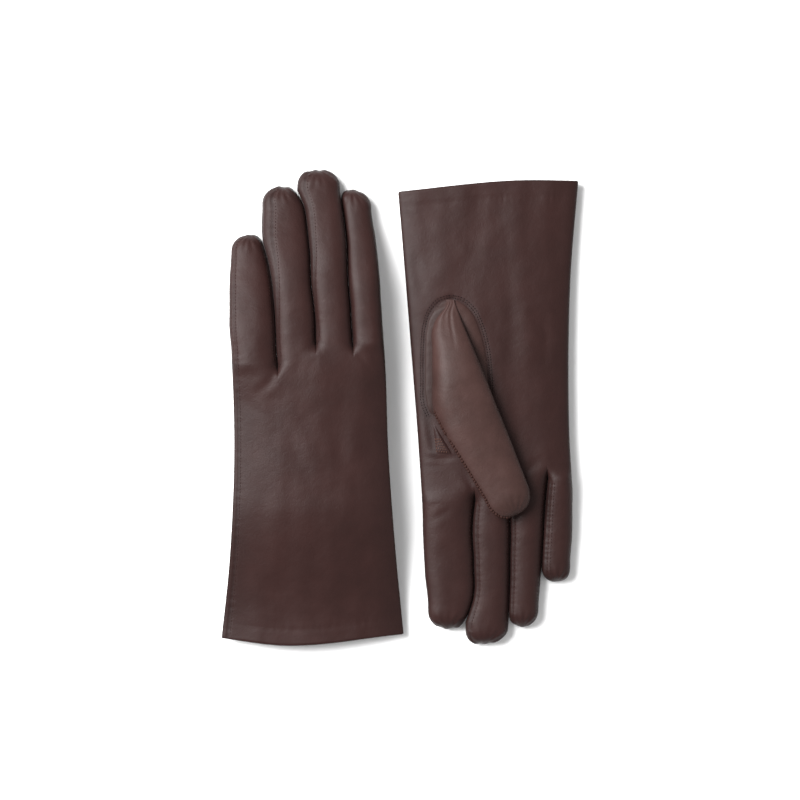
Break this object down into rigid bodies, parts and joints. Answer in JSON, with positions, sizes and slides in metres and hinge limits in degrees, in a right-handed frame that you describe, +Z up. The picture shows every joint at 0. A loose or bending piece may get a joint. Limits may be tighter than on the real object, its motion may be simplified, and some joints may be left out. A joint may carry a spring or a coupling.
{
  "type": "leather gloves",
  "caption": "Long dress gloves in smooth brown leather, laid flat as a pair, one back up and one palm up, with open cuffs and hinged fingers and thumbs.",
  "frame": {"origin": "on the table, under the middle of the pair's bounding box", "axes": "+Y along the gloves, towards the left glove's fingertips; +X from the left glove to the right glove; +Z up from the table"},
  "size_m": [0.2039, 0.2709, 0.0255],
  "materials": {
    "leather": "satin",
    "thumb_leather": "satin",
    "side_leather": "satin",
    "lining": "knitted"
  },
  "bodies": {
    "left_hand": {"left_hand_leather": "leather", "left_cuff_hem": "leather", "left_hand_lining": "lining", "left_thumb_gusset": "thumb_leather", "left_thumb_gusset_lining": "lining", "left_thumb_quirk": "side_leather"},
    "left_thumb": {"left_thumb_leather": "thumb_leather", "left_thumb_lining": "lining"},
    "left_index": {"left_index_leather": "leather", "left_index_lining": "lining", "left_index_outer_fourchette": "side_leather"},
    "left_middle": {"left_middle_leather": "leather", "left_middle_lining": "lining", "left_middle_outer_fourchette": "side_leather", "left_middle_inner_fourchette": "side_leather"},
    "left_ring": {"left_ring_leather": "leather", "left_ring_lining": "lining", "left_ring_outer_fourchette": "side_leather", "left_ring_inner_fourchette": "side_leather"},
    "left_little": {"left_little_leather": "leather", "left_little_lining": "lining", "left_little_inner_fourchette": "side_leather"},
    "right_hand": {"right_hand_leather": "leather", "right_cuff_hem": "leather", "right_hand_lining": "lining", "right_thumb_gusset": "thumb_leather", "right_thumb_gusset_lining": "lining", "right_thumb_quirk": "side_leather"},
    "right_thumb": {"right_thumb_leather": "thumb_leather", "right_thumb_lining": "lining"},
    "right_index": {"right_index_leather": "leather", "right_index_lining": "lining", "right_index_outer_fourchette": "side_leather"},
    "right_middle": {"right_middle_leather": "leather", "right_middle_lining": "lining", "right_middle_outer_fourchette": "side_leather", "right_middle_inner_fourchette": "side_leather"},
    "right_ring": {"right_ring_leather": "leather", "right_ring_lining": "lining", "right_ring_outer_fourchette": "side_leather", "right_ring_inner_fourchette": "side_leather"},
    "right_little": {"right_little_leather": "leather", "right_little_lining": "lining", "right_little_inner_fourchette": "side_leather"}
  },
  "joints": [
    {"name": "right_glove_lift", "type": "slide", "parent": "left_hand", "child": "right_hand", "axis": [0, 0, 1], "range_m": [0, 0.12]},
    {"name": "left_index_fold", "type": "hinge", "parent": "left_hand", "child": "left_index", "pos_m": [-0.01785, 0.039, 0.025], "axis": [0.9947, 0.1027, 0], "range_deg": [0, 60]},
    {"name": "left_middle_fold", "type": "hinge", "parent": "left_hand", "child": "left_middle", "pos_m": [-0.03759, 0.0405, 0.02499], "axis": [0.995, 0.0998, 0], "range_deg": [0, 60]},
    {"name": "left_ring_fold", "type": "hinge", "parent": "left_hand", "child": "left_ring", "pos_m": [-0.05972, 0.0405, 0.02493], "axis": [0.9962, 0.0868, 0], "range_deg": [0, 60]},
    {"name": "left_little_fold", "type": "hinge", "parent": "left_hand", "child": "left_little", "pos_m": [-0.08348, 0.027, 0.02499], "axis": [0.9995, 0.0331, 0], "range_deg": [0, 60]},
    {"name": "right_index_fold", "type": "hinge", "parent": "right_hand", "child": "right_index", "pos_m": [0.02736, -0.0565, 0.01299], "axis": [-0.9999, -0.0103, 0], "range_deg": [0, 80]},
    {"name": "right_middle_fold", "type": "hinge", "parent": "right_hand", "child": "right_middle", "pos_m": [0.05281, -0.065, 0.0129], "axis": [-0.9978, 0.0662, 0], "range_deg": [0, 80]},
    {"name": "right_ring_fold", "type": "hinge", "parent": "right_hand", "child": "right_ring", "pos_m": [0.07268, -0.065, 0.01272], "axis": [-0.9982, 0.0604, 0], "range_deg": [0, 80]},
    {"name": "right_little_fold", "type": "hinge", "parent": "right_hand", "child": "right_little", "pos_m": [0.09136, -0.0445, 0.01298], "axis": [-0.9995, 0.0317, 0], "range_deg": [0, 80]},
    {"name": "left_thumb_swing", "type": "hinge", "parent": "left_hand", "child": "left_thumb", "pos_m": [-0.02308, 0.01767, 0.0055], "axis": [0, 0, -1], "range_deg": [0, 40]},
    {"name": "right_thumb_lift", "type": "hinge", "parent": "right_hand", "child": "right_thumb", "pos_m": [0.04155, -0.00991, 0.0255], "axis": [-0.9219, -0.3875, 0], "range_deg": [0, 70]}
  ]
}
